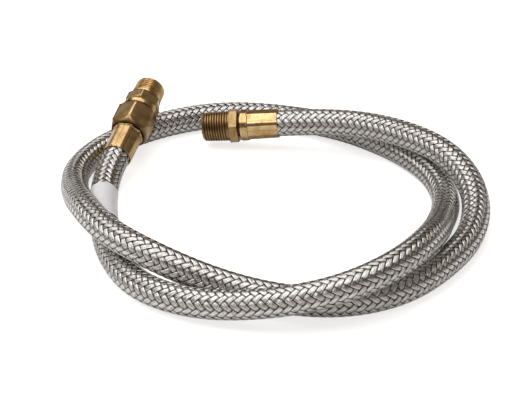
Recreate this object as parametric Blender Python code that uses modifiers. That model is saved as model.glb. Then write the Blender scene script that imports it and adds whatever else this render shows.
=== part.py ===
"""A braided water hose in a loose coil of nearly two turns, with a fixed pipe end and a union end.

Metres, +Z up, the coil lying on the floor at height 0. Each end is laid out along its own axis: a
station is the distance from the hose end of the ferrule towards the tip of the male thread.
"""

import math

import bpy
import numpy as np
from mathutils import Matrix, Vector

# The hose
HOSE_D = 0.0185
BRAID_WALL = 0.0008
LINER_WALL = 0.0015
LINER_GAP = 0.00025
CRIMP_SCALE = 0.95
CRIMP_RUN = 0.0035
ROUTE_STEPS = 74
SPLINE_STEPS = 40

# The printed sleeve, measured from the ferrule of the union end
LABEL_FROM = 0.042
LABEL_TO = 0.084
LABEL_GAP = 0.00005
LABEL_WALL = 0.0002

# The route: angle round the coil, how far the hose runs outside the coil's mean circle, and how far it
# is lifted, from 0 on the floor to 1 on top of another turn. Both are counted in hoses laid side by
# side. It starts at the union end and finishes at the fixed end.
REST_GAP = 0.0005
COIL_MIDDLE = (0.00264, 0.00547)
COIL_R = 0.125
ROUTE = [
    (160, -0.368, 0.30), (178, -0.579, 0.04), (196, -0.526, 0.04), (214, -0.053, 0.00),
    (232, 0.553, 0.00), (250, 0.842, 0.12), (268, 0.921, 0.42), (286, 1.000, 0.84),
    (304, 0.632, 1.12), (322, -0.105, 0.90), (340, -0.684, 0.28), (358, -0.711, 0.03),
    (376, -0.658, 0.00), (394, -0.632, 0.00), (412, -0.526, 0.00), (430, -0.263, 0.02),
    (448, 0.132, 0.00), (466, 0.632, 0.00), (484, 0.842, 0.00), (502, 0.947, 0.00),
    (520, 0.868, 0.04), (538, 0.395, 0.32), (556, 0.158, 0.86), (574, 0.132, 1.00),
    (592, 0.079, 0.92), (610, -0.184, 0.42), (628, -0.105, 0.06), (646, 0.421, 0.00),
    (664, 0.605, 0.00), (682, 0.421, 0.00), (700, 0.368, 0.04), (718, 0.237, 0.48),
    (736, -0.342, 0.96), (754, -0.868, 0.98), (772, -1.132, 0.84), (790, -1.395, 0.70),
]

# Where each ferrule starts, given in the same way, and the way its axis points
UNION_ROOT = (155.42, -0.317, 0.44)
UNION_HEADING_DEG = 72.35
UNION_RISE_DEG = 17.9
FIXED_ROOT = (808.88, -1.441, 0.534)
FIXED_HEADING_DEG = 173.5
FIXED_RISE_DEG = -6.3

CLEARANCE = 0.0003

# The crimped ferrules, one on each end: walls outside the crimped hose, and lengths
FERRULE_LENGTH = 0.0265
COLLAR_LENGTH = 0.0052
COLLAR_WALL = 0.0019
COLLAR_EDGE = 0.0007
RIDGE_WALL = 0.00136
RIDGE_TAPER = 0.0003
FLUTE_WALL = 0.00082
FLUTE_COUNT = 8
FLUTE_RAMP = 0.0010
MOUTH_GAP = 0.0002
MOUTH_EDGE = 0.0002
LIP_THICK = 0.0023
HOSE_END_GAP = 0.0007
UNION_FERRULE_TURN_DEG = 18.0
FIXED_FERRULE_TURN_DEG = 17.0

# The barbed tails inside the hose
TAIL_FROM = 0.0030
TAIL_WALL = 0.0007
BARB_HEIGHT = 0.0006
BARB_FIRST = 0.0085
BARB_PITCH = 0.0032
BARB_COUNT = 5
STEM_STEP = 0.0006

# Male pipe threads, drawn as plain cones over the crests
PIPE_D = 0.0213
PIPE_TAPER = 1.0 / 16.0
PIPE_TIP_CHAMFER = 0.0014
PIPE_BORE_D = 0.0136

# Hexagons of the fixed stem and of the adapter
HEX_FLATS = 0.0222
HEX_CORNER_D = 0.0254
HEX_FACE_D = 0.0220
HEX_CHAMFER = 0.0008

# Fixed end, each length following on from the last
FIXED_NECK_WALL = 0.0016
FIXED_NECK_LENGTH = 0.0016
FIXED_HEX_LENGTH = 0.0060
FIXED_THREAD_LENGTH = 0.0194
FIXED_BORE_STEP = 0.0020
FIXED_BORE_CONE = 0.0045
FIXED_HEX_TURN_DEG = -12.0

# Union end: stem with a shoulder and a coned nose
UNION_THREAD_D = 0.0204
UNION_NECK_WALL = 0.0009
SHOULDER_STEP = 0.0004
SHOULDER_THICK = 0.0025
NOSE_STEP = 0.0013
NOSE_FALL = 0.0027
NOSE_LENGTH = 0.0034
NOSE_STAND_OFF = 0.0006

# Union end: nut, its rear coned over the ferrule's collar
NUT_OVERLAP = 0.0040
NUT_LENGTH = 0.0215
NUT_WALL = 0.0012
NUT_REAR_WALL = 0.0005
NUT_CORNER_OFF = 0.00015
NUT_CONE = 0.0046
NUT_FACE_DROP = 0.0002
NUT_CHAMFER = 0.0022
NUT_FLANGE_GAP = 0.0006
NUT_FLANGE_THICK = 0.0025
NUT_MOUTH_CHAMFER = 0.0006
NUT_TURN_DEG = 6.0

# Union end: adapter
ADAPTER_ENTRY = 0.0003
ADAPTER_NECK = 0.0022
ADAPTER_CONE = 0.0058
ADAPTER_HEX_LENGTH = 0.0107
ADAPTER_CHAMFER = 0.0020
ADAPTER_ROUND_D = 0.0219
ADAPTER_ROUND_LENGTH = 0.0012
ADAPTER_THREAD_LENGTH = 0.0131
ADAPTER_TURN_DEG = 8.0

ROUND_STEPS = 24
CUTTER_D = 0.0400
CUTTER_OVERRUN = 0.0010
MERGE = 0.00001
TUBE_BEVEL_RESOLUTION = 4
LABEL_BEVEL_RESOLUTION = 10
CREASE_DEG = 35.0

for old in list(bpy.data.objects):
    bpy.data.objects.remove(old)

part = bpy.data.collections.new("braided_water_hose")
cutters = bpy.data.collections.new("cutters")
bpy.context.scene.collection.children.link(part)
bpy.context.scene.collection.children.link(cutters)


def material(name, colour, metallic, roughness):
    made = bpy.data.materials.new(name)
    made.use_nodes = True
    shader = made.node_tree.nodes["Principled BSDF"]
    shader.inputs["Base Color"].default_value = (*colour, 1.0)
    shader.inputs["Metallic"].default_value = metallic
    shader.inputs["Roughness"].default_value = roughness
    return made


BRASS = (0.72, 0.50, 0.22)


def coil_point(degrees, out, lift):
    pitch = HOSE_D + REST_GAP
    distance = COIL_R + out * pitch
    angle = math.radians(degrees)
    return Vector((
        COIL_MIDDLE[0] + distance * math.cos(angle),
        COIL_MIDDLE[1] + distance * math.sin(angle),
        HOSE_D / 2 + lift * pitch,
    ))


def end_axis(root, heading_deg, rise_deg):
    """A frame at the ferrule's hose end with +Z out along the end and +X as near upright as can be."""
    heading = math.radians(heading_deg)
    rise = math.radians(rise_deg)
    out = Vector((
        math.cos(heading) * math.cos(rise),
        math.sin(heading) * math.cos(rise),
        math.sin(rise),
    ))
    up = Vector((0, 0, 1))
    across = (up - out * out.z).normalized()
    frame = Matrix((across, out.cross(across), out)).transposed().to_4x4()
    return Matrix.Translation(coil_point(*root)) @ frame


def turned(name, profile, steps, place, collection):
    """Turn a closed outline of (radius, station) pairs, listed down its outer side first."""
    mesh = bpy.data.meshes.new(name)
    corners = [(radius, 0, station) for radius, station in profile]
    edges = [(i, (i + 1) % len(corners)) for i in range(len(corners))]
    mesh.from_pydata(corners, edges, [])
    made = bpy.data.objects.new(name, mesh)
    made.matrix_world = place
    collection.objects.link(made)
    screw = made.modifiers.new("turn", "SCREW")
    screw.axis = "Z"
    screw.steps = steps
    screw.render_steps = steps
    screw.use_merge_vertices = True
    screw.merge_threshold = MERGE
    screw.use_smooth_shade = False
    return made


def smoothed(made):
    """Settle what a piece is made of into a mesh that is shaded smooth, with its real edges sharp."""
    bpy.context.view_layer.update()
    shape = made.evaluated_get(bpy.context.evaluated_depsgraph_get())
    solid = bpy.data.meshes.new_from_object(shape)
    solid.shade_smooth()
    solid.set_sharp_from_angle(angle=math.radians(CREASE_DEG))
    made.modifiers.clear()
    made.data = solid
    return made


def cut(body, name, profile, sides, place):
    """Take a many-sided ring off the outside of a turned body, which leaves that many flats."""
    ring = turned(name, profile, sides, place, cutters)
    ring.hide_render = True
    ring.display_type = "WIRE"
    boolean = body.modifiers.new(name, "BOOLEAN")
    boolean.operation = "DIFFERENCE"
    boolean.solver = "EXACT"
    boolean.object = ring


def flats_ring(across_flats, sides, start, end):
    corner = across_flats / 2 / math.cos(math.pi / sides)
    return [
        (CUTTER_D / 2, end),
        (CUTTER_D / 2, start),
        (corner, start),
        (corner, end),
    ]


# Half sizes that follow from the hose: the crimped liner's bore, the tail in it and the ferrule on it.
tube_side = math.cos(math.pi / (4 + 2 * TUBE_BEVEL_RESOLUTION))
label_side = math.cos(math.pi / (4 + 2 * LABEL_BEVEL_RESOLUTION))
round_side = math.cos(math.pi / ROUND_STEPS)
liner_r = HOSE_D / 2 - (BRAID_WALL + LINER_GAP) / tube_side
label_r = (HOSE_D / 2 + LABEL_GAP + LABEL_WALL) / label_side
barb_r = liner_r * CRIMP_SCALE * tube_side - LINER_WALL - CLEARANCE
tail_r = barb_r - BARB_HEIGHT
tail_bore_r = tail_r - TAIL_WALL
stem_r = barb_r + STEM_STEP
crimp_r = HOSE_D / 2 * CRIMP_SCALE + CLEARANCE
collar_r = crimp_r + COLLAR_WALL
ridge_r = crimp_r + RIDGE_WALL
flute_r = crimp_r + FLUTE_WALL
lip_from = FERRULE_LENGTH - LIP_THICK
hose_end = lip_from - HOSE_END_GAP


def tail_outline():
    """The outside of a barbed tail, from the ferrule's lip down to its tip, then back up the bore."""
    outline = [
        (stem_r, lip_from - CLEARANCE),
        (tail_r, lip_from - CLEARANCE),
    ]
    for i in reversed(range(BARB_COUNT)):
        edge = BARB_FIRST + i * BARB_PITCH
        outline.append((tail_r, edge))
        outline.append((barb_r, edge))
    outline.append((tail_r, BARB_FIRST - BARB_PITCH))
    outline.append((tail_r - CLEARANCE, TAIL_FROM))
    outline.append((tail_bore_r, TAIL_FROM))
    return outline


def pipe_thread(start, tip):
    """The tip face and the crests of a tapered male thread, from its tip down to its last turn."""
    tip_d = PIPE_D - (tip - start) * PIPE_TAPER
    return [
        (tip_d / 2 - PIPE_TIP_CHAMFER, tip),
        (tip_d / 2, tip - PIPE_TIP_CHAMFER),
        (PIPE_D / 2, start),
    ]


def ferrule(name, axis, turn_deg):
    collar_from = FERRULE_LENGTH - COLLAR_LENGTH
    mouth_r = HOSE_D / 2 + MOUTH_GAP
    outline = [
        (collar_r - COLLAR_EDGE, FERRULE_LENGTH),
        (collar_r, FERRULE_LENGTH - COLLAR_EDGE),
        (collar_r, collar_from + FLUTE_RAMP / 2),
        (ridge_r, collar_from),
        (ridge_r - RIDGE_TAPER, MOUTH_EDGE),
        (ridge_r - RIDGE_TAPER - MOUTH_EDGE, 0),
        (mouth_r, 0),
        (crimp_r, CRIMP_RUN),
        (crimp_r, lip_from),
        ((stem_r + CLEARANCE) / round_side, lip_from),
        ((stem_r + CLEARANCE) / round_side, FERRULE_LENGTH),
    ]
    place = axis @ Matrix.Rotation(math.radians(turn_deg), 4, "Z")
    body = smoothed(turned(name, outline, ROUND_STEPS, place, part))
    corner = flute_r / math.cos(math.pi / FLUTE_COUNT)
    flutes = [
        (CUTTER_D / 2, collar_from),
        (CUTTER_D / 2, -CUTTER_OVERRUN),
        (corner, -CUTTER_OVERRUN),
        (corner, collar_from - FLUTE_RAMP),
        (corner + FLUTE_RAMP, collar_from),
    ]
    cut(body, name + "_flutes", flutes, FLUTE_COUNT, place)
    body.data.materials.append(material(name, BRASS, 1.0, 0.30))


fixed_axis = end_axis(FIXED_ROOT, FIXED_HEADING_DEG, FIXED_RISE_DEG)
union_axis = end_axis(UNION_ROOT, UNION_HEADING_DEG, UNION_RISE_DEG)

# The hose's route: a smooth curve through the list, straight at both ends.
union_out = union_axis.to_3x3().col[2]
fixed_out = fixed_axis.to_3x3().col[2]
knots = np.array([
    union_axis.translation,
    *[coil_point(*place) for place in ROUTE],
    fixed_axis.translation,
])
spans = np.linalg.norm(np.diff(knots, axis=0), axis=1)
count = len(knots)
matrix = np.zeros((count, count))
known = np.zeros((count, 3))
matrix[0, 0] = 1
matrix[-1, -1] = 1
known[0] = -np.array(union_out)
known[-1] = np.array(fixed_out)
for i in range(1, count - 1):
    before, after = spans[i - 1], spans[i]
    matrix[i, i - 1] = 1 / before
    matrix[i, i] = 2 / before + 2 / after
    matrix[i, i + 1] = 1 / after
    known[i] = 3 * (knots[i] - knots[i - 1]) / before**2 + 3 * (knots[i + 1] - knots[i]) / after**2
slopes = np.linalg.solve(matrix, known)
fine = []
for i in range(count - 1):
    for t in np.linspace(0, 1, SPLINE_STEPS, endpoint=False):
        fine.append(
            (1 + 2 * t) * (1 - t) ** 2 * knots[i]
            + t * (1 - t) ** 2 * spans[i] * slopes[i]
            + t * t * (3 - 2 * t) * knots[i + 1]
            + t * t * (t - 1) * spans[i] * slopes[i + 1]
        )
fine.append(knots[-1])
fine = np.array(fine)
fine[:, 2] = np.maximum(fine[:, 2], HOSE_D / 2)
run = np.r_[0, np.cumsum(np.linalg.norm(np.diff(fine, axis=0), axis=1))]


def on_route(distances):
    return [Vector([np.interp(d, run, fine[:, k]) for k in range(3)]) for d in distances]


open_run = np.linspace(0, run[-1], ROUTE_STEPS + 1)
route = on_route(open_run)
union_root = union_axis.translation
fixed_root = fixed_axis.translation
way = [
    (union_root + union_out * hose_end, CRIMP_SCALE),
    (union_root + union_out * CRIMP_RUN, CRIMP_SCALE),
    *[(point, 1.0) for point in route],
    (fixed_root + fixed_out * CRIMP_RUN, CRIMP_SCALE),
    (fixed_root + fixed_out * hose_end, CRIMP_SCALE),
]

# The label follows the same chords as the hose's tube.
corners = np.array(route)
between = open_run[(open_run > LABEL_FROM) & (open_run < LABEL_TO)]
label_way = [
    (Vector([np.interp(d, open_run, corners[:, k]) for k in range(3)]), 1.0)
    for d in (LABEL_FROM, *between, LABEL_TO)
]


def tube(name, points, radius, wall, bevel_resolution, finish):
    """A bevelled curve made into a mesh and given a wall on its inner side."""
    curve = bpy.data.curves.new(name + "_path", "CURVE")
    curve.dimensions = "3D"
    curve.bevel_depth = radius
    curve.bevel_resolution = bevel_resolution
    line = curve.splines.new("POLY")
    line.points.add(len(points) - 1)
    for knot, (place, scale) in zip(line.points, points):
        knot.co = (*place, 1.0)
        knot.radius = scale
    path = bpy.data.objects.new(name + "_path", curve)
    part.objects.link(path)
    bpy.context.view_layer.update()
    skin = bpy.data.meshes.new_from_object(path.evaluated_get(bpy.context.evaluated_depsgraph_get()))
    made = bpy.data.objects.new(name, skin)
    made.matrix_world = path.matrix_world
    part.objects.link(made)
    bpy.data.objects.remove(path)
    weld = made.modifiers.new("weld", "WELD")
    weld.merge_threshold = MERGE
    shell = made.modifiers.new("wall", "SOLIDIFY")
    shell.thickness = wall
    shell.offset = -1
    shell.use_even_offset = True
    smoothed(made)
    made.data.materials.clear()
    made.data.materials.append(finish)
    return made


steel = material("braid_sleeve", (0.62, 0.61, 0.59), 1.0, 0.32)
tube("braid_sleeve", way, HOSE_D / 2, BRAID_WALL, TUBE_BEVEL_RESOLUTION, steel)
rubber = material("hose_liner", (0.05, 0.05, 0.05), 0.0, 0.7)
tube("hose_liner", way, liner_r, LINER_WALL, TUBE_BEVEL_RESOLUTION, rubber)
paper = material("hose_label", (0.86, 0.86, 0.88), 0.0, 0.45)
tube("hose_label", label_way, label_r, LABEL_WALL, LABEL_BEVEL_RESOLUTION, paper)

ferrule("fixed_ferrule", fixed_axis, FIXED_FERRULE_TURN_DEG)
ferrule("swivel_ferrule", union_axis, UNION_FERRULE_TURN_DEG)

# Fixed end: thread, hexagon, neck and tail in one piece.
fixed_hex_from = FERRULE_LENGTH + FIXED_NECK_LENGTH
fixed_hex_to = fixed_hex_from + FIXED_HEX_LENGTH
fixed_tip = fixed_hex_to + FIXED_THREAD_LENGTH
fixed_outline = [
    (PIPE_BORE_D / 2, fixed_tip),
    *pipe_thread(fixed_hex_to, fixed_tip),
    (HEX_FACE_D / 2, fixed_hex_to),
    (HEX_CORNER_D / 2, fixed_hex_to - HEX_CHAMFER),
    (HEX_CORNER_D / 2, fixed_hex_from + HEX_CHAMFER),
    (HEX_FACE_D / 2, fixed_hex_from),
    (stem_r + FIXED_NECK_WALL, fixed_hex_from),
    (stem_r + FIXED_NECK_WALL, FERRULE_LENGTH + CLEARANCE),
    (stem_r, FERRULE_LENGTH + CLEARANCE),
    *tail_outline(),
    (tail_bore_r, fixed_hex_from + FIXED_BORE_STEP),
    (PIPE_BORE_D / 2, fixed_hex_from + FIXED_BORE_STEP + FIXED_BORE_CONE),
]
fixed_place = fixed_axis @ Matrix.Rotation(math.radians(FIXED_HEX_TURN_DEG), 4, "Z")
fixed_stem = smoothed(turned("fixed_stem", fixed_outline, ROUND_STEPS, fixed_place, part))
fixed_flats = flats_ring(HEX_FLATS, 6, fixed_hex_from - CLEARANCE, fixed_hex_to)
cut(fixed_stem, "fixed_stem_flats", fixed_flats, 6, fixed_place)
fixed_stem.data.materials.append(material("fixed_stem", BRASS, 1.0, 0.30))

# Union end: the stem ends in a shoulder that the nut pulls on and a coned nose. The nut's flange lies
# between the ferrule and that shoulder.
union_thread_r = UNION_THREAD_D / 2
flange_from = FERRULE_LENGTH + NUT_FLANGE_GAP
flange_to = flange_from + NUT_FLANGE_THICK
shoulder_from = flange_to + CLEARANCE
shoulder_to = shoulder_from + SHOULDER_THICK
nose_from = shoulder_to + NOSE_STAND_OFF
nose_to = nose_from + NOSE_LENGTH
nose_r = union_thread_r - NOSE_STEP
nose_tip_r = nose_r - NOSE_FALL
neck_r = stem_r + UNION_NECK_WALL
swivel_outline = [
    (nose_tip_r, nose_to),
    (nose_r, nose_from),
    (nose_r, shoulder_to),
    (union_thread_r - SHOULDER_STEP, shoulder_to),
    (union_thread_r - SHOULDER_STEP, shoulder_from),
    (neck_r, shoulder_from),
    (neck_r, FERRULE_LENGTH + CLEARANCE),
    (stem_r, FERRULE_LENGTH + CLEARANCE),
    *tail_outline(),
    (tail_bore_r, nose_to),
]
swivel_stem = smoothed(turned("swivel_stem", swivel_outline, ROUND_STEPS, union_axis, part))
swivel_stem.data.materials.append(material("swivel_stem", BRASS, 1.0, 0.30))

# Union nut: a cone over the ferrule's collar opens out to six flats, and the front is chamfered.
nut_from = FERRULE_LENGTH - NUT_OVERLAP
nut_to = nut_from + NUT_LENGTH
nut_skirt_r = (collar_r + CLEARANCE) / round_side
nut_inner_r = (union_thread_r + CLEARANCE) / round_side
nut_hole_r = (neck_r + CLEARANCE) / round_side
nut_flat_r = nut_skirt_r + NUT_WALL
nut_corner_r = nut_flat_r / math.cos(math.pi / 6) - NUT_CORNER_OFF
nut_outline = [
    (nut_flat_r - NUT_FACE_DROP, nut_to),
    (nut_corner_r, nut_to - NUT_CHAMFER),
    (nut_corner_r, nut_from + NUT_CONE),
    (nut_skirt_r + NUT_REAR_WALL, nut_from),
    (nut_skirt_r, nut_from),
    (nut_skirt_r, flange_from),
    (nut_hole_r, flange_from),
    (nut_hole_r, flange_to),
    (nut_inner_r, flange_to),
    (nut_inner_r, nut_to - NUT_MOUTH_CHAMFER),
    (nut_inner_r + NUT_MOUTH_CHAMFER, nut_to),
]
nut_place = union_axis @ Matrix.Rotation(math.radians(NUT_TURN_DEG), 4, "Z")
union_nut = smoothed(turned("union_nut", nut_outline, ROUND_STEPS, nut_place, part))
nut_flats = flats_ring(2 * nut_flat_r, 6, nut_from - CUTTER_OVERRUN, nut_to + CUTTER_OVERRUN)
cut(union_nut, "union_nut_flats", nut_flats, 6, nut_place)
union_nut.data.materials.append(material("union_nut", BRASS, 1.0, 0.30))

# Union adapter: the thread that the nut draws on, with a cone seat, then a hexagon that grows out of
# a long cone, a narrow round shoulder and the pipe thread.
adapter_from = nose_from + ADAPTER_ENTRY
adapter_hex_from = nut_to + ADAPTER_NECK
adapter_hex_to = adapter_hex_from + ADAPTER_HEX_LENGTH
adapter_thread_from = adapter_hex_to + ADAPTER_ROUND_LENGTH
adapter_tip = adapter_thread_from + ADAPTER_THREAD_LENGTH
nose_slope = NOSE_FALL / NOSE_LENGTH
seat_gap = CLEARANCE * math.sqrt(1 + nose_slope**2)
seat_mouth_r = nose_r - ADAPTER_ENTRY * nose_slope + seat_gap
seat_end = adapter_from + (seat_mouth_r - nose_tip_r) / nose_slope
adapter_outline = [
    (PIPE_BORE_D / 2, adapter_tip),
    *pipe_thread(adapter_thread_from, adapter_tip),
    (ADAPTER_ROUND_D / 2, adapter_thread_from),
    (ADAPTER_ROUND_D / 2, adapter_hex_to),
    (HEX_FACE_D / 2, adapter_hex_to),
    (HEX_CORNER_D / 2, adapter_hex_to - ADAPTER_CHAMFER),
    (HEX_CORNER_D / 2, adapter_hex_from + ADAPTER_CONE),
    (union_thread_r, adapter_hex_from),
    (union_thread_r, adapter_from),
    (seat_mouth_r, adapter_from),
    (nose_tip_r, seat_end),
    (nose_tip_r, seat_end + FLUTE_RAMP),
    (PIPE_BORE_D / 2, seat_end + 2 * FLUTE_RAMP),
]
adapter_place = union_axis @ Matrix.Rotation(math.radians(ADAPTER_TURN_DEG), 4, "Z")
union_adapter = smoothed(
    turned("union_adapter", adapter_outline, ROUND_STEPS, adapter_place, part)
)
adapter_flats = flats_ring(HEX_FLATS, 6, adapter_hex_from - CLEARANCE, adapter_hex_to)
cut(union_adapter, "union_adapter_flats", adapter_flats, 6, adapter_place)
union_adapter.data.materials.append(material("union_adapter", BRASS, 1.0, 0.30))
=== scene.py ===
import math

import bmesh
import bpy
import numpy as np
from mathutils import Matrix, Vector


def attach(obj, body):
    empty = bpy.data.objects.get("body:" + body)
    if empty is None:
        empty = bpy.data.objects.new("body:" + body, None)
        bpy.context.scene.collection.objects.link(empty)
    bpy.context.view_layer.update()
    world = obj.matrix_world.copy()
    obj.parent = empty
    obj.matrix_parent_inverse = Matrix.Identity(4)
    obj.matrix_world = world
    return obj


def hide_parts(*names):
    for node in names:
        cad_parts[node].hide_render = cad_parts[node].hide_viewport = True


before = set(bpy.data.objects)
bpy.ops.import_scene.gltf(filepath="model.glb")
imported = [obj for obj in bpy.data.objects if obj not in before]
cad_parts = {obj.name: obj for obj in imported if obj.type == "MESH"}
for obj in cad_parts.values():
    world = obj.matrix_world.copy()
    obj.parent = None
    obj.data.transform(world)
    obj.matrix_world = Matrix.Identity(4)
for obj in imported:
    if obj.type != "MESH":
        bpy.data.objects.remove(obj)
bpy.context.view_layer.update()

# Camera: a long lens, looking down on the coil from in front at about the height that a small
# product is photographed from. The shift, in pixels, places the coil in the picture.
COIL_MIDDLE = (0.00264, 0.00547, 0.0)
CAMERA_DISTANCE = 1.284
CAMERA_RISE_DEG = 28.5
PICTURE_WIDTH = 512
SHIFT_LEFT, SHIFT_UP = 20, 9
camera_rise = math.radians(CAMERA_RISE_DEG)
camera_data = bpy.data.cameras.new("camera")
camera_data.lens = 136.55
camera_data.sensor_width = 36.0
camera_data.shift_x = -SHIFT_LEFT / PICTURE_WIDTH
camera_data.shift_y = SHIFT_UP / PICTURE_WIDTH
camera_data.clip_start = 0.05
camera_data.clip_end = 20.0
camera = bpy.data.objects.new("camera", camera_data)
camera.location = (
    COIL_MIDDLE[0],
    COIL_MIDDLE[1] - CAMERA_DISTANCE * math.cos(camera_rise),
    CAMERA_DISTANCE * math.sin(camera_rise),
)
camera.rotation_euler = (math.pi / 2 - camera_rise, 0, 0)
bpy.context.scene.collection.objects.link(camera)
bpy.context.scene.camera = camera
bpy.context.scene.view_settings.view_transform = "Standard"

# The hose's route: the line that its middle follows over the floor, nearly two turns, straight for
# a little way into the ferrule at each end. The points are angle round the coil, how far outside its
# mean circle, and lift, from 0 on the floor to 1 on top of another turn, both counted in hoses.
HOSE_D = 0.0185
REST_GAP = 0.0005
COIL_R = 0.125
SPLINE_STEPS = 40
ROUTE = [
    (160, -0.368, 0.30), (178, -0.579, 0.04), (196, -0.526, 0.04), (214, -0.053, 0.00),
    (232, 0.553, 0.00), (250, 0.842, 0.12), (268, 0.921, 0.42), (286, 1.000, 0.84),
    (304, 0.632, 1.12), (322, -0.105, 0.90), (340, -0.684, 0.28), (358, -0.711, 0.03),
    (376, -0.658, 0.00), (394, -0.632, 0.00), (412, -0.526, 0.00), (430, -0.263, 0.02),
    (448, 0.132, 0.00), (466, 0.632, 0.00), (484, 0.842, 0.00), (502, 0.947, 0.00),
    (520, 0.868, 0.04), (538, 0.395, 0.32), (556, 0.158, 0.86), (574, 0.132, 1.00),
    (592, 0.079, 0.92), (610, -0.184, 0.42), (628, -0.105, 0.06), (646, 0.421, 0.00),
    (664, 0.605, 0.00), (682, 0.421, 0.00), (700, 0.368, 0.04), (718, 0.237, 0.48),
    (736, -0.342, 0.96), (754, -0.868, 0.98), (772, -1.132, 0.84), (790, -1.395, 0.70),
]

UNION_ROOT = (155.42, -0.317, 0.44)
UNION_HEADING_DEG = 72.35
UNION_RISE_DEG = 17.9
FIXED_ROOT = (808.88, -1.441, 0.534)
FIXED_HEADING_DEG = 173.5
FIXED_RISE_DEG = -6.3
HOSE_IN_FERRULE = 0.010
CRIMP_RUN = 0.0035
CRIMP_SCALE = 0.95


def coil_point(degrees, out, lift):
    pitch = HOSE_D + REST_GAP
    distance = COIL_R + out * pitch
    angle = math.radians(degrees)
    return Vector((
        COIL_MIDDLE[0] + distance * math.cos(angle),
        COIL_MIDDLE[1] + distance * math.sin(angle),
        HOSE_D / 2 + lift * pitch,
    ))


def end_axis(root, heading_deg, rise_deg):
    """A frame at the ferrule's hose end with +Z out along the end and +X as upright as can be."""
    heading = math.radians(heading_deg)
    rise = math.radians(rise_deg)
    out = Vector((
        math.cos(heading) * math.cos(rise),
        math.sin(heading) * math.cos(rise),
        math.sin(rise),
    ))
    across = (Vector((0, 0, 1)) - out * out.z).normalized()
    turned = Matrix((across, out.cross(across), out)).transposed().to_4x4()
    return Matrix.Translation(coil_point(*root)) @ turned


union_axis = end_axis(UNION_ROOT, UNION_HEADING_DEG, UNION_RISE_DEG)
fixed_axis = end_axis(FIXED_ROOT, FIXED_HEADING_DEG, FIXED_RISE_DEG)
union_out = np.array(union_axis.to_3x3().col[2])
fixed_out = np.array(fixed_axis.to_3x3().col[2])

knots = np.array([
    union_axis.translation,
    *[coil_point(*place) for place in ROUTE],
    fixed_axis.translation,
])
spans = np.linalg.norm(np.diff(knots, axis=0), axis=1)
count = len(knots)
matrix = np.zeros((count, count))
known = np.zeros((count, 3))
matrix[0, 0] = 1
matrix[-1, -1] = 1
known[0] = -union_out
known[-1] = fixed_out
for i in range(1, count - 1):
    before, after = spans[i - 1], spans[i]
    matrix[i, i - 1] = 1 / before
    matrix[i, i] = 2 / before + 2 / after
    matrix[i, i + 1] = 1 / after
    known[i] = (
        3 * (knots[i] - knots[i - 1]) / before**2
        + 3 * (knots[i + 1] - knots[i]) / after**2
    )
slopes = np.linalg.solve(matrix, known)
line = []
for i in range(count - 1):
    for t in np.linspace(0, 1, SPLINE_STEPS, endpoint=False):
        line.append(
            (1 + 2 * t) * (1 - t) ** 2 * knots[i]
            + t * (1 - t) ** 2 * spans[i] * slopes[i]
            + t * t * (3 - 2 * t) * knots[i + 1]
            + t * t * (t - 1) * spans[i] * slopes[i + 1]
        )
line.append(knots[-1])
line = np.array(line)
line[:, 2] = np.maximum(line[:, 2], HOSE_D / 2)
line = np.vstack([
    knots[0] + union_out * HOSE_IN_FERRULE,
    line,
    knots[-1] + fixed_out * HOSE_IN_FERRULE,
])

# The middle line cut into even steps, each with a frame that turns no more than the hose does.
STEP = 0.0013
SMOOTHINGS = 2
along = np.r_[0, np.cumsum(np.linalg.norm(np.diff(line, axis=0), axis=1))]
HOSE_LENGTH = float(along[-1])
ring_count = int(round(HOSE_LENGTH / STEP)) + 1
reach = np.linspace(0, HOSE_LENGTH, ring_count)
middle = np.column_stack([np.interp(reach, along, line[:, k]) for k in range(3)])
heading = np.gradient(middle, axis=0)
heading /= np.linalg.norm(heading, axis=1)[:, None]
for _ in range(SMOOTHINGS):
    heading[1:-1] = (heading[:-2] + 2 * heading[1:-1] + heading[2:]) / 4
    heading /= np.linalg.norm(heading, axis=1)[:, None]
upward = np.zeros_like(middle)
upward[0] = (0, 0, 1) - heading[0] * heading[0][2]
upward[0] /= np.linalg.norm(upward[0])
for i in range(1, ring_count):
    upward[i] = upward[i - 1] - heading[i] * (upward[i - 1] @ heading[i])
    upward[i] /= np.linalg.norm(upward[i])
sideways = np.cross(heading, upward)


def on_hose(distance, angle, radius):
    """Points on the hose: distance from its start, angle round it and radius, as arrays."""
    open_from = HOSE_IN_FERRULE - CRIMP_RUN / 2
    open_to = HOSE_LENGTH - open_from
    crimp = [open_from - CRIMP_RUN, open_from, open_to, open_to + CRIMP_RUN]
    radius = radius * np.interp(distance, crimp, [CRIMP_SCALE, 1, 1, CRIMP_SCALE])
    place = []
    for field in (middle, upward, sideways):
        place.append(np.stack([np.interp(distance, reach, field[:, k]) for k in range(3)], -1))
    round_x = (np.cos(angle) * radius)[..., None]
    round_y = (np.sin(angle) * radius)[..., None]
    return place[0] + place[1] * round_x + place[2] * round_y


def mesh_piece(name, points, faces, uv=None, layers=None):
    """An object from arrays of points and quads, with its place in its mesh."""
    mesh = bpy.data.meshes.new(name)
    mesh.from_pydata(points.tolist(), [], faces)
    if uv is not None:
        layer = mesh.uv_layers.new(name="along")
        corner = np.array([loop.vertex_index for loop in mesh.loops])
        layer.data.foreach_set("uv", uv[corner].ravel())
    for title, values in (layers or {}).items():
        field = mesh.attributes.new(title, "FLOAT", "POINT")
        field.data.foreach_set("value", values)
    mesh.shade_smooth()
    made = bpy.data.objects.new(name, mesh)
    bpy.context.scene.collection.objects.link(made)
    return made


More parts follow.
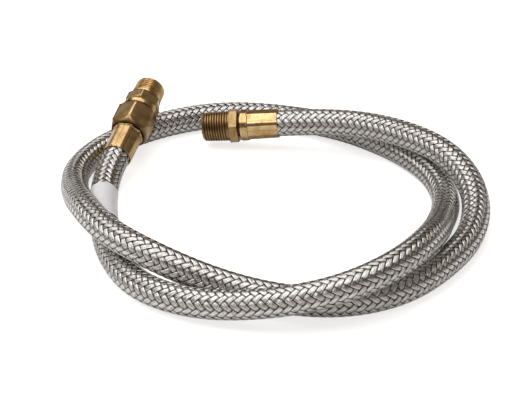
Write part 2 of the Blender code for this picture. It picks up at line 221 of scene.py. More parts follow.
# The rubber liner: a dark tube just under the braid, which shows only in the gaps of the weave. It
# is extruded, and cut square inside each ferrule.
LINER_R = 0.0081
LINER_SIDES = 24
LINER_EVERY = 4
side_angle = np.linspace(0, 2 * math.pi, LINER_SIDES, endpoint=False)
ring = np.arange(0, ring_count, LINER_EVERY)
liner_points = on_hose(
    np.repeat(reach[ring], LINER_SIDES), np.tile(side_angle, len(ring)),
    np.full(len(ring) * LINER_SIDES, LINER_R),
)
liner_faces = []
for i in range(len(ring) - 1):
    for j in range(LINER_SIDES):
        k = (j + 1) % LINER_SIDES
        a, b = i * LINER_SIDES, (i + 1) * LINER_SIDES
        liner_faces.append((a + j, a + k, b + k, b + j))
liner_faces.append(tuple(reversed(range(LINER_SIDES))))
liner_faces.append(tuple((len(ring) - 1) * LINER_SIDES + j for j in range(LINER_SIDES)))
liner = mesh_piece("rubber_liner", liner_points, liner_faces)
rubber = bpy.data.materials.new("liner_rubber")
rubber.use_nodes = True
tree = rubber.node_tree
shader = tree.nodes["Principled BSDF"]
speck = tree.nodes.new("ShaderNodeTexNoise")
speck.inputs["Scale"].default_value = 900
place = tree.nodes.new("ShaderNodeTexCoord")
tree.links.new(place.outputs["Object"], speck.inputs["Vector"])
shade = tree.nodes.new("ShaderNodeValToRGB")
shade.color_ramp.elements[0].color = (0.012, 0.011, 0.010, 1)
shade.color_ramp.elements[1].color = (0.045, 0.042, 0.038, 1)
tree.links.new(speck.outputs["Fac"], shade.inputs["Fac"])
tree.links.new(shade.outputs["Color"], shader.inputs["Base Color"])
shader.inputs["Roughness"].default_value = 0.6
liner.data.materials.append(rubber)
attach(liner, "hose")
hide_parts("hose_liner")

# The braid: twelve flat tapes of bright stainless wire wound each way, every tape over two and under
# two. The two ways are two pieces, woven straight onto the liner and held by the ferrules.
TAPES = 12
WIRES_PER_TAPE = 8
TAPE_WIDTH = 0.0035
TAPE_THICK = 0.00022
WEAVE_R = 0.00890
WEAVE_LIFT = 0.00034
WEAVE_SQUARENESS = 0.8
CROSSING = 0.0053
TAPE_CROWN = 0.00005
TAPE_EDGE = 0.00016
tape_gap = 2 * math.pi / TAPES
wind = tape_gap / CROSSING
slant = math.hypot(1, WEAVE_R * wind)
SECTION = [(-1.0, -TAPE_EDGE), (-0.55, -0.00001), (0.0, TAPE_CROWN), (0.55, -0.00001),
           (1.0, -TAPE_EDGE), (0.9, -TAPE_EDGE - TAPE_THICK), (-0.9, -TAPE_EDGE - TAPE_THICK)]


def tapes(name, hand):
    """All the tapes wound one way: hand is 1 for those that turn with the hose's frame, else -1."""
    points, faces, across, lengthwise, height = [], [], [], [], []
    width = np.array([w for w, _ in SECTION])
    drop = np.array([d for _, d in SECTION])
    size = len(SECTION)
    for tape in range(TAPES):
        start = tape * tape_gap
        offset = width * TAPE_WIDTH / 2
        centre = np.repeat(reach[:, None], size, axis=1)
        distance = np.clip(centre - hand * offset * WEAVE_R * wind / slant, 0, HOSE_LENGTH)
        angle = start + hand * wind * centre + offset / (WEAVE_R * slant)
        other = (angle + hand * wind * distance) / tape_gap
        phase = (tape + other - 0.5) * math.pi / 2
        lift = np.cos(phase)
        lift = np.sign(lift) * np.abs(lift) ** WEAVE_SQUARENESS
        if hand < 0:
            lift = -lift
        radius = WEAVE_R + WEAVE_LIFT * lift + drop
        first = len(points) * ring_count * size
        points.append(on_hose(distance, angle, radius).reshape(-1, 3))
        across.append(np.tile(width / 2 + 0.5, ring_count))
        lengthwise.append(np.repeat(reach * slant, size))
        height.append(np.repeat(lift.mean(axis=1), size))
        around = np.arange(size)
        row = first + np.arange(ring_count - 1)[:, None] * size
        a, b = row + around, row + (around + 1) % size
        quads = np.stack([a, a + size, b + size, b], -1).reshape(-1, 4)
        faces.extend(quads.tolist())
        faces.append(tuple(first + j for j in range(size)))
        last = first + (ring_count - 1) * size
        faces.append(tuple(last + j for j in reversed(range(size))))
    uv = np.column_stack([np.concatenate(across), np.concatenate(lengthwise)])
    layers = {"height": np.concatenate(height)}
    return mesh_piece(name, np.concatenate(points), faces, uv, layers)


left_tapes = tapes("braid_tapes_left", 1)
right_tapes = tapes("braid_tapes_right", -1)

wire = bpy.data.materials.new("stainless_wire")
wire.use_nodes = True
tree = wire.node_tree
shader = tree.nodes["Principled BSDF"]
shader.inputs["Metallic"].default_value = 1.0
uv = tree.nodes.new("ShaderNodeUVMap")
uv.uv_map = "along"
split = tree.nodes.new("ShaderNodeSeparateXYZ")
tree.links.new(uv.outputs["UV"], split.inputs["Vector"])
strand = tree.nodes.new("ShaderNodeMath")
strand.operation = "MULTIPLY"
strand.inputs[1].default_value = 2 * math.pi * WIRES_PER_TAPE
tree.links.new(split.outputs["X"], strand.inputs[0])
wave = tree.nodes.new("ShaderNodeMath")
wave.operation = "COSINE"
tree.links.new(strand.outputs[0], wave.inputs[0])
bump = tree.nodes.new("ShaderNodeBump")
bump.inputs["Strength"].default_value = 1.0
bump.inputs["Distance"].default_value = 0.00003
tree.links.new(wave.outputs[0], bump.inputs["Height"])
tree.links.new(bump.outputs["Normal"], shader.inputs["Normal"])
# Painted shade: each tape runs nearly black where its weave height takes it under the crossing tapes,
# and bright where it rides over them.
depth = tree.nodes.new("ShaderNodeAttribute")
depth.attribute_name = "height"
ramp = tree.nodes.new("ShaderNodeValToRGB")
ramp.color_ramp.elements[0].position = 0.45
ramp.color_ramp.elements[0].color = (0.010, 0.009, 0.008, 1)
ramp.color_ramp.elements[1].position = 0.74
ramp.color_ramp.elements[1].color = (0.88, 0.865, 0.84, 1)
to_unit = tree.nodes.new("ShaderNodeMapRange")
to_unit.inputs["From Min"].default_value = -1
tree.links.new(depth.outputs["Fac"], to_unit.inputs["Value"])
tree.links.new(to_unit.outputs["Result"], ramp.inputs["Fac"])
stretch = tree.nodes.new("ShaderNodeMapping")
stretch.inputs["Scale"].default_value = (7, 260, 1)
tree.links.new(uv.outputs["UV"], stretch.inputs["Vector"])
uneven = tree.nodes.new("ShaderNodeTexNoise")
uneven.inputs["Scale"].default_value = 1
uneven.inputs["Detail"].default_value = 3
tree.links.new(stretch.outputs["Vector"], uneven.inputs["Vector"])
between = tree.nodes.new("ShaderNodeMapRange")
between.inputs["From Min"].default_value = 0.55
between.inputs["From Max"].default_value = 0.37
between.inputs["To Max"].default_value = 0.5
tree.links.new(uneven.outputs["Fac"], between.inputs["Value"])
# Painted shade along both edges of each tape, where it meets the next. The darker of this and the
# random streaks mixes the wire colour toward near black.
edge = tree.nodes.new("ShaderNodeMath")
edge.operation = "PINGPONG"
edge.inputs[1].default_value = 0.5
tree.links.new(split.outputs["X"], edge.inputs[0])
tape_edge_shade = tree.nodes.new("ShaderNodeMapRange")
tape_edge_shade.inputs["From Min"].default_value = 0.075
tape_edge_shade.inputs["From Max"].default_value = 0.03
tape_edge_shade.inputs["To Max"].default_value = 0.95
tree.links.new(edge.outputs[0], tape_edge_shade.inputs["Value"])
streaks_and_edge_shade = tree.nodes.new("ShaderNodeMath")
streaks_and_edge_shade.operation = "MAXIMUM"
tree.links.new(between.outputs["Result"], streaks_and_edge_shade.inputs[0])
tree.links.new(tape_edge_shade.outputs["Result"], streaks_and_edge_shade.inputs[1])
wires = tree.nodes.new("ShaderNodeMix")
wires.data_type = "RGBA"
wires.inputs["B"].default_value = (0.018, 0.016, 0.014, 1)
tree.links.new(streaks_and_edge_shade.outputs[0], wires.inputs["Factor"])
tree.links.new(ramp.outputs["Color"], wires.inputs["A"])
tree.links.new(wires.outputs["Result"], shader.inputs["Base Color"])
shader.inputs["Roughness"].default_value = 0.14
for piece in (left_tapes, right_tapes):
    piece.data.materials.append(wire)
    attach(piece, "hose")
    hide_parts("braid_sleeve")

# The printed sleeve beside the union end, left bare: a white film wound once round the braid with its
# end lapped over its start on the under side, pressed a little into the weave.
LABEL_FROM = HOSE_IN_FERRULE + 0.042
LABEL_TO = HOSE_IN_FERRULE + 0.084
LABEL_R = 0.00932
LABEL_FILM = 0.00010
LABEL_LAP = 0.5
LABEL_RISE = 1.3
LAP_AT = 2.2
WEAVE_PRINT = 0.00002
label_turn = np.linspace(0, 2 * math.pi + LABEL_LAP, 97)
label_run = np.linspace(LABEL_FROM, LABEL_TO, 61)
film = LABEL_R + LABEL_RISE * LABEL_FILM * label_turn / (2 * math.pi)
film_angle = np.r_[label_turn, label_turn[::-1]] + LAP_AT
film_radius = np.r_[film + LABEL_FILM, film[::-1]]
film_size = len(film_angle)
across, down = np.meshgrid(np.arange(film_size), np.arange(len(label_run)))
pressed = np.cos(film_angle[across] * TAPES) * np.cos(label_run[down] * 2 * math.pi / CROSSING)
film_points = on_hose(
    label_run[down], film_angle[across], film_radius[across] + WEAVE_PRINT * pressed,
)
film_faces = []
for i in range(len(label_run) - 1):
    a, b = i * film_size, (i + 1) * film_size
    for j in range(film_size):
        k = (j + 1) % film_size
        film_faces.append((a + j, a + k, b + k, b + j))
last = (len(label_run) - 1) * film_size
for j in range(len(label_turn) - 1):
    k = film_size - 1 - j
    film_faces.append((j + 1, j, k, k - 1))
    film_faces.append((last + j, last + j + 1, last + k - 1, last + k))
label = mesh_piece("label_film", film_points.reshape(-1, 3), film_faces)
label.data.set_sharp_from_angle(angle=math.radians(40))
satin = bpy.data.materials.new("label_white")
satin.use_nodes = True
tree = satin.node_tree
shader = tree.nodes["Principled BSDF"]
place = tree.nodes.new("ShaderNodeTexCoord")
crease = tree.nodes.new("ShaderNodeTexNoise")
crease.inputs["Scale"].default_value = 160
crease.inputs["Detail"].default_value = 4
tree.links.new(place.outputs["Object"], crease.inputs["Vector"])
tone = tree.nodes.new("ShaderNodeValToRGB")
tone.color_ramp.elements[0].position = 0.3
tone.color_ramp.elements[0].color = (0.90, 0.92, 0.96, 1)
tone.color_ramp.elements[1].position = 0.6
tone.color_ramp.elements[1].color = (0.95, 0.965, 1.0, 1)
tree.links.new(crease.outputs["Fac"], tone.inputs["Fac"])
tree.links.new(tone.outputs["Color"], shader.inputs["Base Color"])
bump = tree.nodes.new("ShaderNodeBump")
bump.inputs["Strength"].default_value = 0.5
bump.inputs["Distance"].default_value = 0.0003
tree.links.new(crease.outputs["Fac"], bump.inputs["Height"])
tree.links.new(bump.outputs["Normal"], shader.inputs["Normal"])
shader.inputs["Roughness"].default_value = 0.28
label.data.materials.append(satin)
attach(label, "hose")
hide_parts("hose_label")

# The crimped ferrules: a brass sleeve squeezed by eight dies, which leave eight flats with a rounded
# ridge between each two, and a wider collar with fainter flats. From here on, each end's radii and
# stations are in millimetres, and a station counts outwards from the ferrule's hose end.
FERRULE_LENGTH = 26.5
FERRULE_SIDES = 240
COLLAR_FROM = 21.3
COLLAR_R = 11.0
FLAT_R = 9.88
RIDGE_ROUNDING = 4.0
COLLAR_FLAT_R = 10.7
COLLAR_ROUNDING = 7.0
DIE_SLOPE = 0.4
CRIMP_R = 9.09
CRIMP_TO = 24.2
NECK_BORE_R = 6.65
MOUTH_TAPER = 0.3
NOTCH_LENGTH = 0.9
NOTCH_DEG = 9
CRIMP_SIDES = 8
SKIN_R = 10.2
FERRULE_CREASE_DEG = 38.0


def lathe(name, outline, axis, turn_deg, sides, shape=None, crease_deg=30.0):
    """A closed outline of radius and station in millimetres, spun about the axis of one end."""
    bpy.ops.object.select_all(action="DESELECT")
    bpy.ops.mesh.primitive_circle_add(vertices=len(outline), radius=0.01)
    made = bpy.context.object
    made.name = name
    mesh = made.data
    mesh.name = name
    corners = np.array([(radius, 0, station) for radius, station in outline]) * 0.001
    mesh.vertices.foreach_set("co", corners.ravel())
    bpy.ops.object.mode_set(mode="EDIT")
    bpy.ops.mesh.select_all(action="SELECT")
    bpy.ops.mesh.spin(
        steps=sides, angle=2 * math.pi, use_auto_merge=True, center=(0, 0, 0), axis=(0, 0, 1),
    )
    bpy.ops.mesh.select_all(action="SELECT")
    bpy.ops.mesh.remove_doubles(threshold=0.000001)
    bpy.ops.mesh.normals_make_consistent(inside=False)
    bpy.ops.object.mode_set(mode="OBJECT")
    place = np.empty(len(mesh.vertices) * 3)
    mesh.vertices.foreach_get("co", place)
    place = place.reshape(-1, 3)
    if shape is not None:
        angle = np.arctan2(place[:, 1], place[:, 0]) % (2 * math.pi)
        radius = shape(np.hypot(place[:, 0], place[:, 1]), place[:, 2], angle)
        place = np.column_stack([radius * np.cos(angle), radius * np.sin(angle), place[:, 2]])
    turn = np.array(axis @ Matrix.Rotation(math.radians(turn_deg), 4, "Z"))
    mesh.vertices.foreach_set("co", (place @ turn[:3, :3].T + turn[:3, 3]).ravel())
    mesh.update()
    mesh.shade_smooth()
    mesh.set_sharp_from_angle(angle=math.radians(crease_deg))
    return made


def eased(outline, width):
    """The same outline with each long-sided corner taken off by a small chamfer."""
    corners = np.array(outline, float)
    out = []
    for i, corner in enumerate(corners):
        back = corners[i - 1] - corner
        ahead = corners[(i + 1) % len(corners)] - corner
        lengths = np.linalg.norm(back), np.linalg.norm(ahead)
        if min(lengths) < 3 * width or -(back @ ahead) / (lengths[0] * lengths[1]) > 0.9:
            out.append(tuple(corner))
            continue
        out.append(tuple(corner + back / lengths[0] * width))
        out.append(tuple(corner + ahead / lengths[1] * width))
    return out


def eight_sided(fold, flat_r, corner_r):
    """The radius of an eight-sided shape with rounded corners, fold degrees away from a corner."""
    half = math.pi / CRIMP_SIDES
    centre = (flat_r - corner_r) / math.cos(half)
    flat_from = math.degrees(half - math.atan(centre * math.sin(half) / flat_r))
    fold_rad = np.radians(fold)
    aside = centre * np.sin(np.minimum(fold_rad, half))
    rounded = centre * np.cos(fold_rad) + np.sqrt(corner_r**2 - aside**2)
    return 0.001 * np.where(fold < flat_from, rounded, flat_r / np.cos(half - fold_rad))


def crimped(radius, station, angle):
    """Flats and ridges on the outer side of the sleeve, with a steep end at the collar."""
    half = math.pi / CRIMP_SIDES
    fold = np.degrees(np.abs((angle + half) % (2 * half) - half))
    mouth = 0.001 * MOUTH_TAPER * (1 - station / (COLLAR_FROM * 0.001))
    squeezed = eight_sided(fold, FLAT_R, RIDGE_ROUNDING) - mouth
    collar = np.minimum(radius, eight_sided(fold, COLLAR_FLAT_R, COLLAR_ROUNDING))
    die_end = COLLAR_FROM + NOTCH_LENGTH * np.clip(1 - fold / NOTCH_DEG, 0, 1)
    ramp = np.clip((station * 1000 - (die_end - DIE_SLOPE)) / DIE_SLOPE, 0, 1)
    crimp = (1 - ramp) * squeezed + ramp * collar
    return np.where(radius > 0.001 * SKIN_R, np.minimum(crimp, radius), radius)


def ferrule(name, node, axis, turn_deg):
    """One crimped ferrule, with a lip that turns in round the stem's neck."""
    step_top, step_foot = COLLAR_FROM + 1.1, COLLAR_FROM - 0.7
    stations = [*np.linspace(step_top, step_foot, 25), *np.linspace(step_foot, 0.35, 12)[1:]]
    wall = [(COLLAR_R - 0.03, s) for s in stations]
    outline = [
        (COLLAR_R - 0.7, FERRULE_LENGTH), (COLLAR_R - 0.25, FERRULE_LENGTH - 0.2),
        (COLLAR_R - 0.05, FERRULE_LENGTH - 0.5), (COLLAR_R, FERRULE_LENGTH - 0.9),
        *[(COLLAR_R, s) for s in np.linspace(FERRULE_LENGTH - 1.0, COLLAR_FROM + 1.2, 6)], *wall,
        (9.95, 0.1), (9.85, 0.0), (9.55, 0.0), (9.45, 0.1), (CRIMP_R, 3.5), (CRIMP_R, CRIMP_TO),
        (NECK_BORE_R, CRIMP_TO), (NECK_BORE_R, FERRULE_LENGTH),
    ]
    made = lathe(name, outline, axis, turn_deg, FERRULE_SIDES, crimped, FERRULE_CREASE_DEG)
    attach(made, "hose")
    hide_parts(node)
    return made


union_ferrule = ferrule("ferrule_union", "swivel_ferrule", union_axis, 19.0)
fixed_ferrule = ferrule("ferrule_fixed", "fixed_ferrule", fixed_axis, 24.0)

# The fixed end piece: tapered pipe thread, hexagon, neck and barbed tail turned from one brass bar.
PITCH = 1.814
THREAD_DEPTH = 1.05
THREAD_SLOPE = 1.45
THREAD_CREST = 0.45
TAPER_RUN = 32
PIPE_R = 10.65
BORE_R = 6.8
TAIL_BORE_R = 4.39
TAIL_R, BARB_R, CRIMP_NECK_R = 5.1, 5.68, 6.28
BARB_FIRST, BARB_PITCH = 8.5, 3.2
TIP_CHAMFER = 1.4
NECK_FROM = 26.8
HEX_APOTHEM, HEX_CORNER_R, HEX_EDGE = 11.1, 12.7, 0.4
HEX_FROM, HEX_TO, FIXED_TIP = 28.1, 34.1, 53.5
FIXED_TURN_DEG = -12.0
CUTTER_R = 25
SHARP_DEG = 12
FLAT_CREASE_DEG = 32
LATHE_SIDES = 144
BARB_COUNT = 5
BARBS = []
for i in reversed(range(BARB_COUNT)):
    BARBS += [(radius, BARB_FIRST + BARB_PITCH * i) for radius in (TAIL_R, BARB_R)]
TAIL = [
    (CRIMP_NECK_R, 23.9), (TAIL_R, 23.9), *BARBS, (TAIL_R, 5.3), (4.8, 3.0), (TAIL_BORE_R, 3.0),
]


def pipe_thread(start, tip):
    """The outline of a tapered thread down from its tip, fine enough to cut the turns into."""
    corners = [(PIPE_R - (tip - start) / TAPER_RUN - TIP_CHAMFER, tip)]
    for s in np.arange(tip - 0.05, start + 0.05, -PITCH / 16):
        corners.append((PIPE_R, s))
    return corners


def cut_turns(start, tip):
    """A right-handed thread cut into the part of an outline between two stations."""
    def shape(radius, station, angle):
        s = station * 1000
        phase = (s / PITCH - angle / (2 * math.pi)) % 1.0
        valley = np.clip(THREAD_SLOPE * (1 - np.abs(2 * phase - 1)) - THREAD_CREST, 0, 1)
        fade = np.clip((s - start - 0.2) / 1.6, 0, 1)
        crest = PIPE_R - (s - start) / TAPER_RUN
        cone = PIPE_R - (tip - start) / TAPER_RUN - TIP_CHAMFER + (tip - s)
        turned = 0.001 * np.minimum(crest - THREAD_DEPTH * valley * fade, cone)
        inside = (s > start + 0.04) & (s < tip - 0.04) & (radius * 1000 > PIPE_R - 0.15)
        return np.where(inside, turned, radius)
    return shape


def cut_flats(made, axis, turn_deg, apothem, start, end, edge_width):
    """Six flats between two stations, with their edges rounded."""
    corner_r = apothem / math.cos(math.pi / 6)
    section = [(CUTTER_R, end), (CUTTER_R, start), (corner_r, start), (corner_r, end)]
    ring = lathe(made.name + "_flats", section, axis, turn_deg, 6)
    ring.data.shade_flat()
    boolean = made.modifiers.new("flats", "BOOLEAN")
    boolean.operation = "DIFFERENCE"
    boolean.solver = "EXACT"
    boolean.object = ring
    bpy.ops.object.select_all(action="DESELECT")
    bpy.context.view_layer.objects.active = made
    made.select_set(True)
    bpy.ops.object.modifier_apply(modifier=boolean.name)
    bpy.data.objects.remove(ring)
    shape = bmesh.new()
    shape.from_mesh(made.data)
    weight = shape.edges.layers.float.new("bevel_weight_edge")
    inward = axis.inverted()
    for edge in shape.edges:
        ends = [(inward @ vertex.co) * 1000 for vertex in edge.verts]
        stations = [place.z for place in ends]
        within = min(stations) >= start - 0.01 and max(stations) <= end + 0.01
        if not within or min(math.hypot(*place.xy) for place in ends) < apothem - 0.3:
            continue
        if len(edge.link_faces) == 2 and edge.calc_face_angle() > math.radians(SHARP_DEG):
            edge[weight] = 1.0
    shape.to_mesh(made.data)
    shape.free()
    bevel = made.modifiers.new("edges", "BEVEL")
    bevel.limit_method = "WEIGHT"
    bevel.width = 0.001 * edge_width
    bevel.segments = 3
    bevel.use_clamp_overlap = False
    bpy.ops.object.modifier_apply(modifier=bevel.name)
    made.data.set_sharp_from_angle(angle=math.radians(FLAT_CREASE_DEG))


outline = [(BORE_R, FIXED_TIP), *pipe_thread(HEX_TO, FIXED_TIP), *eased([
    (PIPE_R, HEX_TO), (12.2, HEX_TO), (HEX_CORNER_R, HEX_TO - 0.25),
    (HEX_CORNER_R, HEX_FROM + 0.25), (12.2, HEX_FROM), (7.88, HEX_FROM), (7.88, NECK_FROM),
    (CRIMP_NECK_R, NECK_FROM), *TAIL,
], 0.12), (TAIL_BORE_R, 30.1), (BORE_R, 34.6)]
turns = cut_turns(HEX_TO, FIXED_TIP)
fixed_stem = lathe("pipe_end_fixed", outline, fixed_axis, FIXED_TURN_DEG, LATHE_SIDES, turns)
cut_flats(fixed_stem, fixed_axis, FIXED_TURN_DEG, HEX_APOTHEM, HEX_FROM - 0.3, HEX_TO, HEX_EDGE)
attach(fixed_stem, "hose")
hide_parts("fixed_stem")

# The union end's stem: barbed tail, neck, the shoulder that the nut pulls on, and a coned nose. It is
# hidden in the nut and in the hose.
NOSE_R, NOSE_TO = 6.2, 36.4
outline = eased([
    (NOSE_R, NOSE_TO), (8.9, 33.0), (8.9, 32.4), (9.8, 32.4), (9.8, 29.9), (7.18, 29.9),
    (7.18, NECK_FROM), (CRIMP_NECK_R, NECK_FROM), *TAIL, (TAIL_BORE_R, NOSE_TO),
], 0.08)
swivel_stem = lathe("union_stem", outline, union_axis, 0.0, 96)
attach(swivel_stem, "hose")
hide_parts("swivel_stem")

# The union nut: a cone at the rear runs over the ferrule's collar and opens out to six broad flats;
# the front edge is chamfered. The thread in its bore is hidden and left plain.
NUT_REAR, NUT_CONE_TO, NUT_FRONT = 22.5, 27.1, 44.0
NUT_APOTHEM, NUT_CORNER_R, NUT_BORE_R, NUT_EDGE = 12.6, 14.41, 10.59, 0.9
NUT_TURN_DEG = 6.0
outline = eased([
    (12.4, NUT_FRONT), (NUT_CORNER_R, 41.8), (NUT_CORNER_R, NUT_CONE_TO), (11.9, NUT_REAR),
    (11.4, NUT_REAR), (11.4, NUT_CONE_TO), (7.55, NUT_CONE_TO), (7.55, 29.6), (NUT_BORE_R, 29.6),
    (NUT_BORE_R, 43.4), (11.2, NUT_FRONT),
], 0.15)
nut = lathe("nut_union", outline, union_axis, NUT_TURN_DEG, LATHE_SIDES)
cut_flats(nut, union_axis, NUT_TURN_DEG, NUT_APOTHEM, NUT_REAR - 1.0, NUT_FRONT + 1.0, NUT_EDGE)
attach(nut, "union_nut")
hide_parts("union_nut")

# The union adapter: the straight part that the nut draws on, whose thread is hidden and left plain, a
# long cone up to a hexagon, a narrow round shoulder and a tapered pipe thread.
SEAT_FROM, CONE_FROM, ADAPTER_HEX_TO, ROUND_TO, UNION_TIP = 33.3, 46.2, 56.9, 58.1, 71.2
ROUND_R, STRAIGHT_R = 11.0, 10.2
ADAPTER_TURN_DEG = 8.0
outline = [(BORE_R, UNION_TIP), *pipe_thread(ROUND_TO, UNION_TIP), *eased([
    (PIPE_R, ROUND_TO), (ROUND_R, ROUND_TO), (ROUND_R, ADAPTER_HEX_TO + 0.45),
    (10.55, ADAPTER_HEX_TO), (HEX_CORNER_R, ADAPTER_HEX_TO - 1.2), (HEX_CORNER_R, CONE_FROM + 2.9),
    (11.3, CONE_FROM + 2.2), (STRAIGHT_R, CONE_FROM), (STRAIGHT_R, SEAT_FROM), (8.95, SEAT_FROM),
], 0.1), (NOSE_R, 36.8), (NOSE_R, 37.8), (BORE_R, 38.8)]
turns = cut_turns(ROUND_TO, UNION_TIP)
adapter = lathe("adapter_union", outline, union_axis, ADAPTER_TURN_DEG, LATHE_SIDES, turns)
cut_flats(
    adapter, union_axis, ADAPTER_TURN_DEG, HEX_APOTHEM, CONE_FROM - 0.3, ADAPTER_HEX_TO, HEX_EDGE,
)
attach(adapter, "union_adapter")
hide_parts("union_adapter")

# Brass: warm gold, browner in patches, with fine marks where it was turned or squeezed, and small
# dark specks where it has tarnished.
# A dull film darkens some whole pieces, partly tarnish and partly painted shade, and painted brown
# shade lies down in the threads and corners.
# The darkest that the painted shade in the threads and corners gets.
MOST_PAINTED_SHADE = 0.9
brass = bpy.data.materials.new("worn_brass")
brass.use_nodes = True
tree = brass.node_tree
shader = tree.nodes["Principled BSDF"]
shader.inputs["Metallic"].default_value = 1.0
place = tree.nodes.new("ShaderNodeTexCoord")
cloud = tree.nodes.new("ShaderNodeTexNoise")
cloud.inputs["Scale"].default_value = 170
cloud.inputs["Detail"].default_value = 6
tree.links.new(place.outputs["Object"], cloud.inputs["Vector"])
gold = tree.nodes.new("ShaderNodeValToRGB")
gold.color_ramp.elements[0].position = 0.36
gold.color_ramp.elements[0].color = (0.58, 0.37, 0.15, 1)
gold.color_ramp.elements[1].position = 0.58
gold.color_ramp.elements[1].color = (0.90, 0.68, 0.36, 1)
tree.links.new(cloud.outputs["Fac"], gold.inputs["Fac"])
marks_at = tree.nodes.new("ShaderNodeAttribute")
marks_at.attribute_name = "marks"
marks = tree.nodes.new("ShaderNodeTexNoise")
marks.noise_dimensions = "1D"
marks.inputs["Scale"].default_value = 1900
marks.inputs["Detail"].default_value = 4
tree.links.new(marks_at.outputs["Fac"], marks.inputs["W"])
streak = tree.nodes.new("ShaderNodeMapRange")
streak.inputs["From Min"].default_value = 0.56
streak.inputs["From Max"].default_value = 0.40
streak.inputs["To Max"].default_value = 0.85
tree.links.new(marks.outputs["Fac"], streak.inputs["Value"])
streaked = tree.nodes.new("ShaderNodeMix")
streaked.data_type = "RGBA"
streaked.inputs["B"].default_value = (0.46, 0.27, 0.11, 1)
tree.links.new(streak.outputs["Result"], streaked.inputs["Factor"])
tree.links.new(gold.outputs["Color"], streaked.inputs["A"])
grain = tree.nodes.new("ShaderNodeTexNoise")
grain.inputs["Scale"].default_value = 1500
grain.inputs["Detail"].default_value = 3
tree.links.new(place.outputs["Object"], grain.inputs["Vector"])
speck = tree.nodes.new("ShaderNodeMapRange")
speck.inputs["From Min"].default_value = 0.60
speck.inputs["From Max"].default_value = 0.68
speck.inputs["To Max"].default_value = 0.8
tree.links.new(grain.outputs["Fac"], speck.inputs["Value"])
# The darkening field: a dull film over whole pieces, partly tarnish and partly painted shade, and
# painted shade in thread valleys and corners. It and the specks darken the colour toward brown and
# make it rougher.
tarnish_and_shade = tree.nodes.new("ShaderNodeAttribute")
tarnish_and_shade.attribute_name = "tarnish_and_shade"
tarnish_and_shade_mask = tree.nodes.new("ShaderNodeMath")
tarnish_and_shade_mask.operation = "MAXIMUM"
tree.links.new(speck.outputs["Result"], tarnish_and_shade_mask.inputs[0])
tree.links.new(tarnish_and_shade.outputs["Fac"], tarnish_and_shade_mask.inputs[1])
tarnish_and_shade_mix = tree.nodes.new("ShaderNodeMix")
tarnish_and_shade_mix.data_type = "RGBA"
tarnish_and_shade_mix.inputs["B"].default_value = (0.10, 0.055, 0.022, 1)
tree.links.new(tarnish_and_shade_mask.outputs[0], tarnish_and_shade_mix.inputs["Factor"])
tree.links.new(streaked.outputs["Result"], tarnish_and_shade_mix.inputs["A"])
tree.links.new(tarnish_and_shade_mix.outputs["Result"], shader.inputs["Base Color"])
polish = tree.nodes.new("ShaderNodeMapRange")
polish.inputs["To Min"].default_value = 0.22
polish.inputs["To Max"].default_value = 0.50
tree.links.new(tarnish_and_shade_mask.outputs[0], polish.inputs["Value"])
tree.links.new(polish.outputs["Result"], shader.inputs["Roughness"])
bump = tree.nodes.new("ShaderNodeBump")
bump.inputs["Strength"].default_value = 0.35
bump.inputs["Distance"].default_value = 0.00006
tree.links.new(marks.outputs["Fac"], bump.inputs["Height"])
tree.links.new(bump.outputs["Normal"], shader.inputs["Normal"])


def worn(piece, axis, film, thread=None, corner=None):
    """The brass and its two fields: marks round what was turned and along what was squeezed, and a
    darkening: a film over all, partly tarnish and partly painted shade, with painted shade in a
    thread's valleys and in the corner below a station."""
    piece.data.materials.append(brass)
    inward = axis.inverted()
    local = np.array([inward @ vertex.co for vertex in piece.data.vertices]) * 1000
    radius = np.hypot(local[:, 0], local[:, 1])
    station = local[:, 2]
    marks = 0.001 * (station + radius)
    # The film darkens the whole piece: partly tarnish, partly painted shade that tones down its lit
    # flats.
    tarnish_and_shade = np.full(len(local), film)
    if piece in (union_ferrule, fixed_ferrule):
        squeezed = (station < COLLAR_FROM) & (radius > 9.6)
        marks = np.where(squeezed, 0.005 * np.arctan2(local[:, 1], local[:, 0]), marks)
    if thread:
        start, tip = thread
        cone = PIPE_R - (tip - start) / TAPER_RUN - TIP_CHAMFER + tip - station
        crest = np.minimum(PIPE_R - (station - start) / TAPER_RUN, cone)
        # Painted shade down in the thread's valleys.
        valley = film + MOST_PAINTED_SHADE * np.clip(3.5 * (crest - radius) / THREAD_DEPTH - 2.4, 0, 1)
        threaded = (station > start + 0.2) & (station < tip - 0.1) & (radius > 8)
        tarnish_and_shade = np.where(threaded, valley, tarnish_and_shade)
    if corner:
        inner, outer, inner_r = corner
        # Painted shade below the corner's station, where the piece meets the next part or goes into
        # it.
        near = np.clip((outer - station) / (outer - inner), 0, 1)
        tarnish_and_shade = np.maximum(tarnish_and_shade, MOST_PAINTED_SHADE * near * (radius > inner_r))
    for title, values in (("marks", marks), ("tarnish_and_shade", tarnish_and_shade)):
        field = piece.data.attributes.new(title, "FLOAT", "POINT")
        field.data.foreach_set("value", values)


# The film of each piece is partly tarnish and partly painted shade. The thread and corner spans get
# painted shade.
worn(union_ferrule, union_axis, 0.15)
worn(fixed_ferrule, fixed_axis, 0.0)
worn(fixed_stem, fixed_axis, 0.45, (HEX_TO, FIXED_TIP), (HEX_FROM - 0.1, HEX_FROM + 0.1, 6.5))
worn(swivel_stem, union_axis, 0.2)
worn(nut, union_axis, 0.2, None, (23.0, 27.5, 11.0))
worn(adapter, union_axis, 0.08, (ROUND_TO, UNION_TIP), (43.0, 45.0, 9.0))

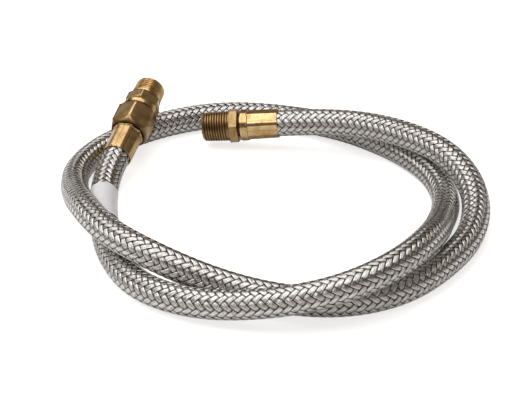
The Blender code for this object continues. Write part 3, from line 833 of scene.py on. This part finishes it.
# The floor and the light: a plain white floor that keeps the soft shadow and glows evenly to the
# camera, and whose glow in metal is dimmed inside the coil as painted shade; a large soft box
# overhead and to the left, and a weak one low at the back left. The dim room on the right and in
# front gives the metal its dark sides.
bpy.ops.object.select_all(action="DESELECT")
bpy.ops.mesh.primitive_plane_add(size=8)
floor = bpy.context.object
floor.name = "floor"
white = bpy.data.materials.new("floor_white")
white.use_nodes = True
tree = white.node_tree
tree.nodes.remove(tree.nodes["Principled BSDF"])
matt = tree.nodes.new("ShaderNodeBsdfDiffuse")
matt.inputs["Color"].default_value = (0.86, 0.86, 0.86, 1)
ray = tree.nodes.new("ShaderNodeLightPath")
place = tree.nodes.new("ShaderNodeTexCoord")
away = tree.nodes.new("ShaderNodeVectorMath")
away.operation = "LENGTH"
tree.links.new(place.outputs["Object"], away.inputs[0])
# Painted shade: the glow that metal mirrors is dimmed near the coil's middle, standing in for the
# coil's shadow on the floor. The camera sees the glow evenly.
reflected_glow_with_coil_shade = tree.nodes.new("ShaderNodeMapRange")
reflected_glow_with_coil_shade.inputs["From Min"].default_value = 0.08
reflected_glow_with_coil_shade.inputs["From Max"].default_value = 0.22
reflected_glow_with_coil_shade.inputs["To Min"].default_value = 0.05
reflected_glow_with_coil_shade.inputs["To Max"].default_value = 0.32
tree.links.new(away.outputs["Value"], reflected_glow_with_coil_shade.inputs["Value"])
mirrored = tree.nodes.new("ShaderNodeMath")
mirrored.operation = "MULTIPLY_ADD"
tree.links.new(reflected_glow_with_coil_shade.outputs["Result"], mirrored.inputs[1])
tree.links.new(ray.outputs["Is Glossy Ray"], mirrored.inputs[0])
tree.links.new(ray.outputs["Is Camera Ray"], mirrored.inputs[2])
seen = tree.nodes.new("ShaderNodeMath")
seen.operation = "ADD"
tree.links.new(mirrored.outputs[0], seen.inputs[0])
tree.links.new(ray.outputs["Is Transmission Ray"], seen.inputs[1])
brighter = tree.nodes.new("ShaderNodeMath")
brighter.operation = "MULTIPLY"
brighter.inputs[1].default_value = 0.72
tree.links.new(seen.outputs[0], brighter.inputs[0])
glow = tree.nodes.new("ShaderNodeEmission")
tree.links.new(brighter.outputs[0], glow.inputs["Strength"])
both = tree.nodes.new("ShaderNodeAddShader")
tree.links.new(matt.outputs["BSDF"], both.inputs[0])
tree.links.new(glow.outputs["Emission"], both.inputs[1])
tree.links.new(both.outputs["Shader"], tree.nodes["Material Output"].inputs["Surface"])
floor.data.materials.append(white)

world = bpy.data.worlds.new("studio")
world.use_nodes = True
bpy.context.scene.world = world
world.node_tree.nodes["Background"].inputs["Color"].default_value = (1.0, 0.84, 0.72, 1)
world.node_tree.nodes["Background"].inputs["Strength"].default_value = 0.18


def soft_box(name, place, target, size, power):
    lamp = bpy.data.lights.new(name, "AREA")
    lamp.shape = "RECTANGLE"
    lamp.size, lamp.size_y = size
    lamp.energy = power
    made = bpy.data.objects.new(name, lamp)
    made.location = place
    made.rotation_euler = (Vector(target) - Vector(place)).to_track_quat("-Z", "Y").to_euler()
    bpy.context.scene.collection.objects.link(made)


soft_box("soft_box_over", (-0.75, 0.125, 1.35), (-0.75, 0.126, 0), (2.3, 1.85), 23.4)
soft_box("soft_box_back", (-1.3, 1.9, 0.75), (-0.1, 0.1, 0.03), (1.2, 0.8), 0.8)
